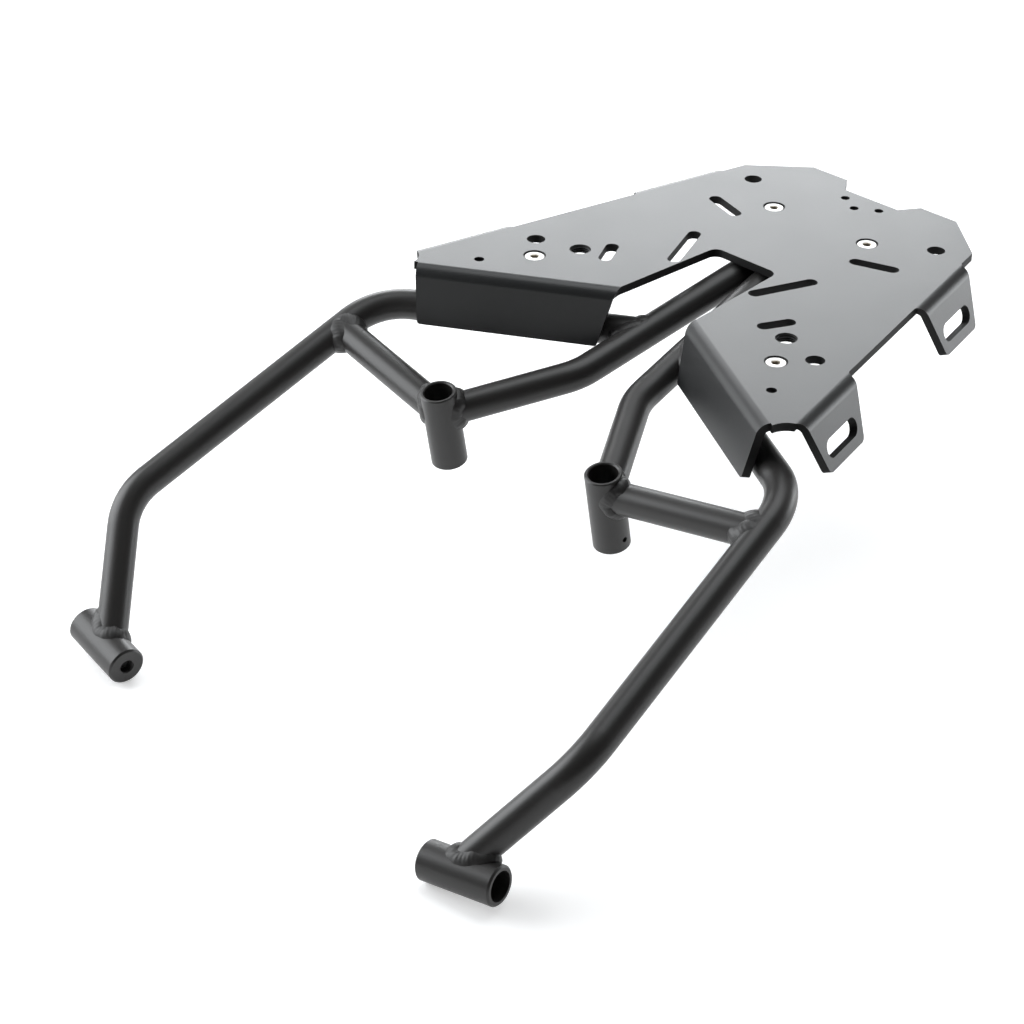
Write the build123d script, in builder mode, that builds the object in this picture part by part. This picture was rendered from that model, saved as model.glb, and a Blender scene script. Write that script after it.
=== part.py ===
from build123d import *
import os
from math import cos, radians, sin

# Top case rack for a motorbike. A folded sheet plate carries the case and is screwed to a welded frame
# of bent tubes, which stands on two bosses in front and holds two socket sleeves half way.
# The frame of reference: +X to the right, +Y to the rear, +Z up, and the plate's top face is z = 0.
# The rack is symmetrical about X = 0. Right-hand pieces are modelled and then mirrored to the left.

os.makedirs("parts", exist_ok=True)

# Sheet of the top plate
sheet = 5.0
bend_inner_radius = 3.0

# Outline of the plate, right half
notch_half_width = 20.2
notch_y = 57.6
rear_edge_y = 70.0
rear_edge_start_x = 28.4
rear_edge_end_x = 54.9
tip_y = 41.4
side_start_x = 124.3
side_start_y = -117.0
side_start = Vector(side_start_x, side_start_y)
side_angle = 103.1
front_start_x = 32.06
front_start_y = -142.18
front_start = Vector(front_start_x, front_start_y)
front_angle = -30.5
cutout_rear_half_width = 23.5
cutout_rear_y = -62.1
cutout_corner_radius = 6.0

# Round relief between each front flange and its neighbouring tab
relief_radius = 12.5
relief_along_side = -89.9
relief_outboard = 2.7

# Front flanges: fold, depth, and where their ends lie along the front edge, from the outer corner
flange_fold = 78.0
flange_depth = 27.8
flange_outer_root = -15.1
flange_outer_top = -15.6
flange_outer_bottom = -17.9
flange_inner_root = -136.2
flange_inner_top = -132.3
flange_inner_bottom = -125.0
flange_corner_radius = 2.0

# Strap tabs: fold, depth, widths at the fold and at the lower edge, and the long hole in each
tab_fold = 68.0
tab_depth = 28.4
tab_top_width = 59.2
tab_bottom_width = 42.3
tab_corner_radius = 4.0
tab_root_radius = 3.5
tab_slot_length = 36.5
tab_slot_width = 11.0
tab_slot_drop = 16.7
tab_centres = (-44.4, 112.2)

# Holes of the plate, right half
screw_rear_x = 35.6
screw_rear_y = 7.1
screw_rear = Vector(screw_rear_x, screw_rear_y)
screw_front_x = 91.3
screw_front_y = -146.4
screw_front = Vector(screw_front_x, screw_front_y)
rear_hole_x = 70.2
rear_hole_y = 28.8
rear_hole = Vector(rear_hole_x, rear_hole_y)
rear_hole_diameter = 10.8
front_outer_hole_x = 105.6
front_outer_hole_y = -130.1
front_outer_hole = Vector(front_outer_hole_x, front_outer_hole_y)
front_outer_hole_diameter = 11.0
front_inner_hole_x = 78.1
front_inner_hole_y = -121.2
front_inner_hole = Vector(front_inner_hole_x, front_inner_hole_y)
front_inner_hole_diameter = 11.0
front_inner_hole_mouth = 12.7
small_front_hole_x = 110.3
small_front_hole_y = -173.5
small_front_hole = Vector(small_front_hole_x, small_front_hole_y)
small_front_hole_diameter = 6.0
small_rear_hole_x = 12.9
small_rear_hole_y = 48.2
small_rear_hole = Vector(small_rear_hole_x, small_rear_hole_y)
small_centre_hole_y = 40.4
small_centre_hole = Vector(0, small_centre_hole_y)
small_rear_hole_diameter = 5.5
slot_width = 8.0
slot_ends = (
    (Vector(67.6, -10.3), Vector(46.3, -17.4)),
    (Vector(44.4, -57.3), Vector(30.8, -91.3)),
    (Vector(67.1, -105.3), Vector(60.2, -119.1)),
)

# Countersunk screws that hold the plate, and the bushes that they go into
screw_diameter = 6.0
screw_length = 20.0
screw_head_diameter = 12.0
screw_head_rim = 0.4
screw_sink = 0.3
screw_hexagon = 4.0
screw_hexagon_depth = 2.6
screw_clearance = 0.3
thread_clearance = 0.05
bush_diameter = 16.0
lug_thickness = 5.0
lug_half_width = 10.0

# Tubes of the frame
tube_diameter = 18.0
tube_wall = 2.0
tube_bend_radius = 40.0
tube_to_plate = 0.3
inner_tube_half_gap = 0.2
inner_tube_end_y = 30.0

# Foot bosses
foot_spacing = 283.3
foot_forward = 438.15
foot_drop = 161.1
boss_direction = Vector(44.9, 7.3, 4.2).normalized()
boss_length = 45.7
boss_diameter = 22.0
boss_bore = 16.5
boss_end_wall = 6.0
boss_hole = 8.6
boss_rim = 1.0
boss_tube_offset = -4.4

# Socket sleeves
sleeve_spacing = 126.0
sleeve_forward = 253.9
sleeve_drop = 38.4
sleeve_lean = 11.1
sleeve_length = 49.2
sleeve_diameter = 21.0
sleeve_bore = 16.4
sleeve_rim = 0.6
sleeve_joint_depth = 15.0
sleeve_cross_hole = 3.2
sleeve_cross_hole_depth = 41.8

# Bend points of the tubes: the leg's bend measured from the foot's joint, the shoulder's bend from the
# corner of the plate, and the inner tube's lower bend from the sleeve's joint
leg_flare = 39.28
leg_run = 47.75
leg_rise = 61.9
shoulder_outward = 11.07
shoulder_forward = 2.37
shoulder_drop = 30.4
outer_end_y = -131.0
inner_bend_inward = 40.9
inner_bend_run = 69.71
inner_bend_rise = 13.82
inner_upper_bend_y = -56.0
cross_joint_share = 0.851

# Derived sizes
bend_outer_radius = bend_inner_radius + sheet
tube_radius = tube_diameter / 2
inner_level_z = -sheet - tube_to_plate - tube_radius
inner_level_x = tube_radius + inner_tube_half_gap
strap_top_z = inner_level_z - tube_radius
bush_height = -sheet - strap_top_z
up = Vector(0, 0, 1)
side_along = Vector(cos(radians(side_angle)), sin(radians(side_angle)))
side_out = side_along.cross(up)
front_along = Vector(cos(radians(front_angle)), sin(radians(front_angle)))
front_out = front_along.cross(up)


def side_point(along, outward=0.0):
    return side_start + side_along * along + side_out * outward


def at_y(point, direction, y):
    return point + direction * ((y - point.Y) / direction.Y)


# Corner where the front fold and the side edge would meet
front_run = (side_start - front_start).dot(side_out) / front_along.dot(side_out)
front_corner = front_start + front_along * front_run

# Joints and bends of the frame's centre lines
sleeve_top = Vector(sleeve_spacing / 2, -sleeve_forward, -sleeve_drop)
sleeve_axis = Vector(0, sin(radians(sleeve_lean)), -cos(radians(sleeve_lean)))
sleeve_joint = sleeve_top + sleeve_axis * sleeve_joint_depth
boss_centre = Vector(foot_spacing / 2, -foot_forward, -foot_drop)
boss_joint = boss_centre + boss_direction * boss_tube_offset
outer_lower_bend = boss_joint + Vector(leg_flare, leg_run, leg_rise)
outer_upper_bend = front_corner + Vector(shoulder_outward, -shoulder_forward, -shoulder_drop)
inner_lower_bend = sleeve_joint + Vector(-inner_bend_inward, inner_bend_run, inner_bend_rise)
cross_joint = outer_lower_bend + (outer_upper_bend - outer_lower_bend) * cross_joint_share
inner_upper_bend = Vector(inner_level_x, inner_upper_bend_y, inner_level_z)
inner_tube_end = Vector(inner_level_x, inner_tube_end_y, inner_level_z)
outer_end = at_y(inner_lower_bend, inner_upper_bend - inner_lower_bend, outer_end_y)

outer_route = (boss_joint, outer_lower_bend, outer_upper_bend, outer_end)
inner_route = (sleeve_joint, inner_lower_bend, inner_upper_bend, inner_tube_end)
cross_route = (sleeve_joint, cross_joint)


def bar(route, diameter, bore=0.0):
    # A round bar or tube along straight runs, with a tangent arc at each bend point
    with BuildPart() as made:
        with BuildLine() as path:
            if len(route) > 2:
                FilletPolyline(*route, radius=tube_bend_radius)
            else:
                Line(*route)
        with BuildSketch(Plane(origin=path.line @ 0, z_dir=path.line % 0)):
            Circle(diameter / 2)
            if bore:
                Circle(bore / 2, mode=Mode.SUBTRACT)
        sweep()
    return made.part


def rod(centre, direction, diameter, length):
    with BuildPart(Plane(origin=centre, z_dir=direction)) as made:
        Cylinder(diameter / 2, length)
    return made.part


def finish(piece, name):
    piece.label = name
    export_step(piece, f"parts/{name}.step")


def finish_pair(piece, name):
    finish(piece, f"{name}_right")
    finish(mirror(piece, about=Plane.YZ), f"{name}_left")


def fold_section(depth, fold):
    # Section through a fold, seen along it: the plate's edge is x = 0, and the flap hangs down beyond it
    overlap = 2.0
    down = Vector(cos(radians(fold)), -sin(radians(fold)))
    inward = Vector(-sin(radians(fold)), -cos(radians(fold)))
    centre = (0, -bend_outer_radius)
    with BuildLine() as outline:
        top = Line((-overlap, 0), (0, 0))
        outer = CenterArc(centre, bend_outer_radius, 90, -fold)
        face = Line(outer @ 1, outer @ 1 + down * depth)
        edge = Line(face @ 1, face @ 1 + inward * sheet)
        Line(edge @ 1, edge @ 1 - down * depth)
        CenterArc(centre, bend_inner_radius, 90 - fold, fold)
        under = Line((0, -sheet), (-overlap, -sheet))
        Line(under @ 1, top @ 0)
    return outline.line


def fold_face(start, along, outward, fold):
    # The flap's outer face as a plane: x runs along the fold, and y up the face from the end of the bend
    across = outward * (bend_outer_radius * sin(radians(fold)))
    drop = up * (bend_outer_radius * (1 - cos(radians(fold))))
    face_out = outward * sin(radians(fold)) + up * cos(radians(fold))
    return Plane(origin=start + across - drop, x_dir=along, z_dir=face_out)


def folded_flap(start, along, outward, depth, fold, outline, radii):
    # A flap folded down along a straight edge, then trimmed to an outline drawn on its outer face
    runs = [point[0] for point in outline]
    with BuildPart() as made:
        with BuildSketch(Plane(origin=start + along * max(runs), x_dir=outward, z_dir=-along)):
            with BuildLine():
                add(fold_section(depth, fold))
            make_face()
        extrude(amount=max(runs) - min(runs))
        with BuildSketch(fold_face(start, along, outward, fold)) as trim:
            with BuildLine():
                Polyline(*outline, close=True)
            make_face()
            for point, radius in radii:
                fillet(trim.vertices().sort_by_distance(point)[0], radius)
        extrude(amount=bend_outer_radius * 3, both=True, mode=Mode.INTERSECT)
    return made.part


def bend_section(start, along, outward, turn):
    # A plane across the bend after some of its turn: x runs along the fold, and y away from the bend's axis
    away = up * cos(radians(turn)) + outward * sin(radians(turn))
    return Plane(origin=start - up * bend_outer_radius, x_dir=along, z_dir=along.cross(away))


def bend_end():
    # What is cut away at the flange's inner end: the cut crosses the bend aslant, square to the sheet
    spare = 1.0
    beyond = flange_inner_root - spare
    inside = bend_inner_radius - spare
    outside = bend_outer_radius + spare
    with BuildPart() as made:
        for share in (0, 0.25, 0.5, 0.75, 1):
            reach = flange_inner_root + (flange_inner_top - flange_inner_root) * share
            with BuildSketch(bend_section(front_corner, front_along, front_out, flange_fold * share)):
                with BuildLine():
                    Polyline((beyond, inside), (reach, inside), (reach, outside), (beyond, outside), close=True)
                make_face()
        loft()
    return made.part


def front_flange():
    # A deep flange whose inner end carries on the line of the cut-out's edge
    root = bend_outer_radius * sin(radians(flange_fold))
    over = root + bend_outer_radius
    outer_end = (flange_outer_top, 0)
    outer_corner = (flange_outer_bottom, -flange_depth)
    inner_corner = (flange_inner_bottom, -flange_depth)
    inner_end = (flange_inner_top, 0)
    outline = (
        (flange_outer_root, over),
        (flange_outer_root, root),
        outer_end,
        outer_corner,
        inner_corner,
        inner_end,
        (flange_inner_root, 0),
        (flange_inner_root, over),
    )
    radii = ((outer_corner, flange_corner_radius), (inner_corner, flange_corner_radius))
    flap = folded_flap(front_corner, front_along, front_out, flange_depth, flange_fold, outline, radii)
    with BuildPart() as made:
        add(flap)
        add(bend_end(), mode=Mode.SUBTRACT)
    return made.part


def strap_tab(centre):
    # A tab that narrows downwards, with rounded lower corners and a hollow curve at each end of its root
    root = bend_outer_radius * sin(radians(tab_fold))
    over = root + bend_outer_radius
    flare = (tab_top_width - tab_bottom_width) / 2 / tab_depth
    half_root = tab_top_width / 2 + flare * root
    half_bottom = tab_bottom_width / 2
    half_wide = half_root + tab_root_radius * 2
    outline = (
        (-half_wide, over),
        (-half_wide, root),
        (-half_root, root),
        (-half_bottom, -tab_depth),
        (half_bottom, -tab_depth),
        (half_root, root),
        (half_wide, root),
        (half_wide, over),
    )
    radii = (
        ((-half_root, root), tab_root_radius),
        ((-half_bottom, -tab_depth), tab_corner_radius),
        ((half_bottom, -tab_depth), tab_corner_radius),
        ((half_root, root), tab_root_radius),
    )
    return folded_flap(side_point(centre), side_along, side_out, tab_depth, tab_fold, outline, radii)


# Top plate: the flat half, its flange and tabs, then the holes, then the other half
plate_outline = (
    (0, cutout_rear_y),
    (cutout_rear_half_width, cutout_rear_y),
    front_corner + front_along * flange_inner_root,
    front_corner,
    at_y(side_start, side_along, tip_y),
    (rear_edge_end_x, rear_edge_y),
    (rear_edge_start_x, rear_edge_y),
    (notch_half_width, notch_y),
    (0, notch_y),
)
cutout_corner = (cutout_rear_half_width, cutout_rear_y)

with BuildPart() as top_plate:
    with BuildSketch() as flat:
        with BuildLine():
            Polyline(*plate_outline, close=True)
        make_face()
        fillet(flat.vertices().sort_by_distance(cutout_corner)[0], cutout_corner_radius)
    extrude(amount=-sheet)
    add(front_flange())
    for centre in tab_centres:
        add(strap_tab(centre))
    with Locations(side_point(relief_along_side, relief_outboard)):
        Cylinder(relief_radius, bend_outer_radius * 3, mode=Mode.SUBTRACT)
    with BuildSketch():
        for start, end in slot_ends:
            SlotCenterPoint(center=(start + end) / 2, point=end, height=slot_width)
    extrude(amount=-sheet, mode=Mode.SUBTRACT)
    for centre in tab_centres:
        with BuildSketch(fold_face(side_point(centre), side_along, side_out, tab_fold)):
            with Locations((0, -tab_slot_drop)):
                SlotOverall(tab_slot_length, tab_slot_width)
        extrude(amount=-sheet, mode=Mode.SUBTRACT)
    with Locations(rear_hole):
        Hole(rear_hole_diameter / 2, sheet)
    with Locations(front_outer_hole):
        Hole(front_outer_hole_diameter / 2, sheet)
    with Locations(front_inner_hole):
        CounterSinkHole(front_inner_hole_diameter / 2, front_inner_hole_mouth / 2, sheet, 90)
    with Locations(small_front_hole):
        Hole(small_front_hole_diameter / 2, sheet)
    with Locations(small_rear_hole):
        Hole(small_rear_hole_diameter / 2, sheet)
    mouth = screw_head_diameter / 2 + screw_head_rim + screw_sink
    with Locations(screw_rear, screw_front):
        CounterSinkHole(screw_diameter / 2 + screw_clearance, mouth, sheet, 90)
    mirror(about=Plane.YZ)
    with Locations(small_centre_hole):
        Hole(small_rear_hole_diameter / 2, sheet)
finish(top_plate.part, "top_plate")

# Solid outsides of the tubes, which the pieces that meet them are coped against
outer_body = bar(outer_route, tube_diameter)
inner_body = bar(inner_route, tube_diameter)
cross_body = bar(cross_route, tube_diameter)
boss_body = rod(boss_centre, boss_direction, boss_diameter, boss_length)
sleeve_centre = sleeve_top + sleeve_axis * (sleeve_length / 2)
sleeve_body = rod(sleeve_centre, sleeve_axis, sleeve_diameter, sleeve_length)
tube_bore = tube_diameter - 2 * tube_wall

with BuildPart() as inner_tube:
    add(bar(inner_route, tube_diameter, tube_bore))
    add(sleeve_body, mode=Mode.SUBTRACT)
finish_pair(inner_tube.part, "inner_tube")

with BuildPart() as outer_tube:
    add(bar(outer_route, tube_diameter, tube_bore))
    add(boss_body, mode=Mode.SUBTRACT)
    add(inner_body, mode=Mode.SUBTRACT)
finish_pair(outer_tube.part, "outer_tube")

with BuildPart() as cross_tube:
    add(bar(cross_route, tube_diameter, tube_bore))
    add(sleeve_body, mode=Mode.SUBTRACT)
    add(outer_body, mode=Mode.SUBTRACT)
    add(inner_body, mode=Mode.SUBTRACT)
finish_pair(cross_tube.part, "cross_tube")

with BuildPart(Plane(origin=boss_centre, z_dir=boss_direction)) as foot_boss:
    Cylinder(boss_diameter / 2, boss_length)
    chamfer(foot_boss.edges().filter_by(GeomType.CIRCLE), boss_rim)
    with Locations((0, 0, boss_end_wall / 2)):
        Cylinder(boss_bore / 2, boss_length - boss_end_wall, mode=Mode.SUBTRACT)
    Cylinder(boss_hole / 2, boss_length, mode=Mode.SUBTRACT)
finish_pair(foot_boss.part, "foot_boss")

sleeve_side = Plane(
    origin=sleeve_top + sleeve_axis * sleeve_cross_hole_depth,
    x_dir=sleeve_axis,
    z_dir=(1, 0, 0),
)
with BuildPart(Plane(origin=sleeve_centre, z_dir=-sleeve_axis)) as socket_sleeve:
    Cylinder(sleeve_diameter / 2, sleeve_length)
    Cylinder(sleeve_bore / 2, sleeve_length, mode=Mode.SUBTRACT)
    chamfer(socket_sleeve.edges().filter_by(GeomType.CIRCLE), sleeve_rim)
    with BuildSketch(sleeve_side):
        Circle(sleeve_cross_hole / 2)
    extrude(amount=sleeve_diameter, mode=Mode.SUBTRACT)
finish_pair(socket_sleeve.part, "socket_sleeve")

# Flat bar across the underside of the inner tubes, with a bush near each end for the rear screws
with BuildPart() as rear_strap:
    with BuildSketch(Plane.XY.offset(strap_top_z)):
        with Locations((0, screw_rear.Y)):
            SlotCenterToCenter(2 * screw_rear.X, 2 * lug_half_width)
        with Locations(screw_rear, (-screw_rear.X, screw_rear.Y)):
            Circle(screw_diameter / 2, mode=Mode.SUBTRACT)
    extrude(amount=-lug_thickness)
finish(rear_strap.part, "rear_strap")

# Flat lug from the outer tube to the front screw
outer_slope = (outer_end - outer_upper_bend).normalized()
lug_foot = outer_upper_bend + outer_slope * (screw_front - outer_upper_bend).dot(outer_slope)
with BuildPart() as front_lug:
    with BuildSketch(Plane.XY.offset(strap_top_z)):
        with BuildLine() as lug_line:
            Line((lug_foot.X, lug_foot.Y), (screw_front.X, screw_front.Y))
        SlotCenterPoint(center=lug_line.line @ 0.5, point=lug_line.line @ 1, height=2 * lug_half_width)
        with Locations(screw_front):
            Circle(screw_diameter / 2, mode=Mode.SUBTRACT)
    extrude(amount=-lug_thickness)
    add(outer_body, mode=Mode.SUBTRACT)
finish_pair(front_lug.part.solids().sort_by_distance(screw_front)[0], "front_lug")

with BuildPart(Plane.XY.offset(strap_top_z)) as bush:
    Cylinder(bush_diameter / 2, bush_height, align=(Align.CENTER, Align.CENTER, Align.MIN))
    Hole(screw_diameter / 2)
finish_pair(Pos(*screw_rear) * bush.part, "rear_bush")
finish_pair(Pos(*screw_front) * bush.part, "front_bush")

# Countersunk screw with a hexagon socket, its head just below the plate's face
head_radius = screw_head_diameter / 2
shank_radius = screw_diameter / 2 - thread_clearance
head_height = screw_head_rim + head_radius - shank_radius
with BuildPart() as plate_screw:
    with BuildSketch(Plane.XZ):
        with BuildLine():
            Polyline(
                (0, -screw_sink),
                (head_radius, -screw_sink),
                (head_radius, -screw_sink - screw_head_rim),
                (shank_radius, -screw_sink - head_height),
                (shank_radius, -screw_sink - screw_length),
                (0, -screw_sink - screw_length),
                close=True,
            )
        make_face()
    revolve(axis=Axis.Z)
    with BuildSketch(Plane.XY.offset(-screw_sink)):
        RegularPolygon(screw_hexagon / 2, 6, major_radius=False)
    extrude(amount=-screw_hexagon_depth, mode=Mode.SUBTRACT)
finish_pair(Pos(*screw_rear) * plate_screw.part, "plate_screw_rear")
finish_pair(Pos(*screw_front) * plate_screw.part, "plate_screw_front")
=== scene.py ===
# %% [markdown]
# # A powder coated luggage rack
#
# The rack is a folded sheet plate on a welded frame of bent tubes. Its solids come from the CAD model, in
# metres, and they already have the right shape. This lesson adds what the solids lack: the coat of fine
# grained black powder, the bright screws, the weld beads at the tube joints, the threads, the softened
# edges of the sheet, and the light of a small product studio.
#
# We start by loading the solids. The box around them is kept, because nothing that we add may reach out of
# it.

# %% Load the solids
import math

import bmesh
import bpy
from mathutils import Matrix, Vector
from mathutils.bvhtree import BVHTree


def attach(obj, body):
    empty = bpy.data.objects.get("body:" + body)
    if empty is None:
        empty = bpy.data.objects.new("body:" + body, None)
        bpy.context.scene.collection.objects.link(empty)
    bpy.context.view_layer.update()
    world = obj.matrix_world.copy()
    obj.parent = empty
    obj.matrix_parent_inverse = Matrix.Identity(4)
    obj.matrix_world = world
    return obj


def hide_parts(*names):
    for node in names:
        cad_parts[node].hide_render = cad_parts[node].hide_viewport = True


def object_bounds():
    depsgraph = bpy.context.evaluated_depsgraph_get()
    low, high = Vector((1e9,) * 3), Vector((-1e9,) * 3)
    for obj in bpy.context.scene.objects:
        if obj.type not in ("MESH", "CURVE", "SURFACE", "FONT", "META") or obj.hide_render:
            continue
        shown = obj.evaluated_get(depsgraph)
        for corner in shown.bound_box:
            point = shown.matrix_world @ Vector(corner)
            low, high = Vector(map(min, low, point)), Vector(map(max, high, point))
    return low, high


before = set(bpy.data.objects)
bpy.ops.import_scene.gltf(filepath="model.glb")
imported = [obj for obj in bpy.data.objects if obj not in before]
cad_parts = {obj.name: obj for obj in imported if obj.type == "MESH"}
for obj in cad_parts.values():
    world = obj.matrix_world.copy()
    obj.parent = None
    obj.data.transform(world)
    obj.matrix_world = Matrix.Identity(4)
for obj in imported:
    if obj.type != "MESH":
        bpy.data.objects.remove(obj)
cad_box = [[float(value) for value in corner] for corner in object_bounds()]
print("solids:", len(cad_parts), "box:", cad_box)

# %% [markdown]
# ## Camera
#
# A product photograph is usually taken with a long lens from a few steps away, which keeps the far side of
# the object from shrinking. We place the camera where the photographer stood and aim it at a point inside
# the rack. The lens is given in millimetres on a 36 mm sensor, and the last degree of roll comes from a
# tripod head that wasn't quite level.

# %% Place the camera
mm = 0.001
camera_place = Vector((883.9, -1191.0, 702.7)) * mm
camera_aim = Vector((5.5, -263.8, -83.9)) * mm
camera_roll = math.radians(1.07)
lens = 94.92
sensor_width = 36.0
farthest_seen = 50.0


def new_object(name, data):
    made = bpy.data.objects.new(name, data)
    bpy.context.scene.collection.objects.link(made)
    return made


camera_data = bpy.data.cameras.new("photo_camera")
camera_data.lens = lens
camera_data.sensor_width = sensor_width
camera_data.clip_end = farthest_seen
camera = new_object("photo_camera", camera_data)
level_view = (camera_aim - camera_place).to_track_quat("-Z", "Y").to_matrix().to_4x4()
camera.matrix_world = Matrix.Translation(camera_place) @ level_view @ Matrix.Rotation(camera_roll, 4, "Z")
bpy.context.scene.camera = camera
print("camera is", round((camera_aim - camera_place).length, 3), "m from its aim")

# %% [markdown]
# ## Studio
#
# The rack stands on a pale floor that runs out into a white background. A black coat shows nothing of its
# own colour: what we see on it is the reflection of the lamps and of the room, so these decide its shape.
# The room is pale behind the rack and dark on the photographer's side. One broad lamp stands behind the
# rack on the left, where the top plate mirrors it, and fills the plate with a pale sheen.
#
# The floor is one large square. It touches the lowest points of the rack, under the two foot bosses.

# %% Lay the floor
floor_z = cad_box[0][2]
floor_size = 12.0

floor_mesh = bpy.data.meshes.new("floor")
half = floor_size / 2
corners = [(-half, -half, floor_z), (half, -half, floor_z), (half, half, floor_z), (-half, half, floor_z)]
floor_mesh.from_pydata(corners, [], [(0, 1, 2, 3)])
floor = new_object("floor", floor_mesh)
print("floor of", floor_size, "m at z =", round(floor_z, 4), "m")

# %% [markdown]
# Every material and every Geometry Nodes tree below is a set of nodes with links between them. Four small
# helpers keep that readable. One adds a node and sets its modes, one joins a socket to a link or to a plain
# value, one does a sum, and one starts an empty material.

# %% Helpers for node trees


def add_node(tree, kind, **settings):
    node = tree.nodes.new(kind)
    for name, value in settings.items():
        setattr(node, name, value)
    return node


def join(tree, source, socket):
    if isinstance(source, bpy.types.NodeSocket):
        tree.links.new(source, socket)
    else:
        socket.default_value = source


def math_node(tree, operation, *values):
    node = add_node(tree, "ShaderNodeMath", operation=operation)
    for value, socket in zip(values, node.inputs):
        join(tree, value, socket)
    return node.outputs[0]


def new_material(name):
    material = bpy.data.materials.new(name)
    material.use_nodes = True
    material.node_tree.nodes.clear()
    return material, material.node_tree


print("helpers:", ", ".join(helper.__name__ for helper in (add_node, join, math_node, new_material)))

# %% [markdown]
# The floor has two jobs. It has to look white, and it has to keep the soft shadow under the feet. More
# light would make it white, but it would also wash out the black coat. So we let the floor give off a
# little light of its own, but only towards the camera and in reflections, which adds no light to the rack.
# Far away the lamps don't reach the floor, and there the glow rises to full white.

# %% A floor that glows for the camera
floor_albedo = 0.80
floor_glow = 0.43
lamps_reach = 0.9
lamps_fade = 2.6


def seen_rays(tree):
    # One for rays that come from the camera, from a mirror or through glass, and nought for the others
    rays = add_node(tree, "ShaderNodeLightPath").outputs
    bent_rays = math_node(tree, "MAXIMUM", rays["Is Glossy Ray"], rays["Is Transmission Ray"])
    return math_node(tree, "MAXIMUM", rays["Is Camera Ray"], bent_rays)


floor_paint, tree = new_material("studio_floor")
output = add_node(tree, "ShaderNodeOutputMaterial")
diffuse = add_node(tree, "ShaderNodeBsdfDiffuse")
diffuse.inputs["Color"].default_value = (floor_albedo, floor_albedo, floor_albedo, 1)
spot = add_node(tree, "ShaderNodeTexCoord")
from_rack = add_node(tree, "ShaderNodeVectorMath", operation="LENGTH")
join(tree, spot.outputs["Object"], from_rack.inputs[0])
rise = add_node(tree, "ShaderNodeMapRange", interpolation_type="SMOOTHSTEP")
join(tree, from_rack.outputs["Value"], rise.inputs["Value"])
rise.inputs["From Min"].default_value = lamps_reach
rise.inputs["From Max"].default_value = lamps_fade
rise.inputs["To Min"].default_value = floor_glow
rise.inputs["To Max"].default_value = 1.0
glow = add_node(tree, "ShaderNodeEmission")
join(tree, math_node(tree, "MULTIPLY", seen_rays(tree), rise.outputs[0]), glow.inputs["Strength"])
both = add_node(tree, "ShaderNodeAddShader")
join(tree, diffuse.outputs[0], both.inputs[0])
join(tree, glow.outputs[0], both.inputs[1])
join(tree, both.outputs[0], output.inputs["Surface"])
floor_mesh.materials.append(floor_paint)
print("floor glows", floor_glow, "within", lamps_reach, "m and white from", lamps_fade, "m")

# %% [markdown]
# The world stands for the walls of the studio. Real walls would have to be modelled and lit, but only their
# reflection matters here. We ask each ray how far it points towards the backdrop, and fade from a dim front
# to a paler back. The camera itself always sees white, where it looks past the floor.

# %% Walls of the studio
backdrop_direction = Vector((-0.55, 0.83, 0.0)).normalized()
front_level = 0.12
back_level = 0.42
fade_start = -0.3
fade_end = 0.8

world = bpy.data.worlds.new("studio_world")
bpy.context.scene.world = world
world.use_nodes = True
tree = world.node_tree
tree.nodes.clear()
output = add_node(tree, "ShaderNodeOutputWorld")
room = add_node(tree, "ShaderNodeBackground")
place = add_node(tree, "ShaderNodeTexCoord")
towards = add_node(tree, "ShaderNodeVectorMath", operation="DOT_PRODUCT")
join(tree, place.outputs["Generated"], towards.inputs[0])
towards.inputs[1].default_value = backdrop_direction
fade = add_node(tree, "ShaderNodeMapRange", interpolation_type="SMOOTHSTEP")
join(tree, towards.outputs["Value"], fade.inputs["Value"])
fade.inputs["From Min"].default_value = fade_start
fade.inputs["From Max"].default_value = fade_end
fade.inputs["To Min"].default_value = front_level
fade.inputs["To Max"].default_value = back_level
rays = add_node(tree, "ShaderNodeLightPath").outputs
seen_level = math_node(tree, "MAXIMUM", fade.outputs[0], rays["Is Camera Ray"])
join(tree, seen_level, room.inputs["Strength"])
join(tree, room.outputs[0], output.inputs["Surface"])
print("walls from", front_level, "in front to", back_level, "behind")

# %% [markdown]
# Each lamp is a soft box: a flat rectangle that is aimed at the rack. Its power grows with its area, so we
# write down how bright its face is and work out the power from that. A brightness of one would light a wall
# right beside it as bright as white paper. After the name come the direction from the rack, the distance,
# the width and the height in metres, and the brightness.

# %% Lamps
lamp_aim = Vector((0.0, -0.15, -0.05))
lamp_colour = (0.955, 0.98, 1.0)


def soft_box(name, direction, distance, width, height, brightness):
    data = bpy.data.lights.new(name, "AREA")
    data.shape = "RECTANGLE"
    data.size = width
    data.size_y = height
    data.energy = brightness * math.pi * width * height
    data.color = lamp_colour
    lamp = new_object(name, data)
    away = Vector(direction).normalized()
    turned = away.to_track_quat("Z", "Y").to_matrix().to_4x4()
    lamp.matrix_world = Matrix.Translation(lamp_aim + away * distance) @ turned
    lamp.visible_camera = False
    print("soft box", name, "power", round(data.energy, 1), "W")


soft_box("rear_box", (-0.68, 0.66, 0.32), 1.9, 1.5, 0.9, 6.5)
soft_box("left_box", (-0.80, -0.52, 0.40), 1.5, 1.3, 1.3, 5.4)
soft_box("top_box", (-0.05, 0.22, 1.0), 1.9, 1.5, 1.3, 3.1)
soft_box("right_box", (0.40, 0.90, 0.09), 1.8, 1.0, 0.6, 5.4)

# %% [markdown]
# ## The coat
#
# Powder coat is sprayed on dry and melted in an oven. It comes out as a very fine, even grain with a slow
# waviness under it that coaters call orange peel. A picture of such a coat would show its seams on a bent
# tube, so we use noise in the object's own space. Plate and tubes share this effect with different sizes,
# so it is built once, as a node group with named inputs. The group puts out a height for the bump, a tone
# that makes the black slightly uneven, and a roughness. The shader itself stays in each material.

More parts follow.
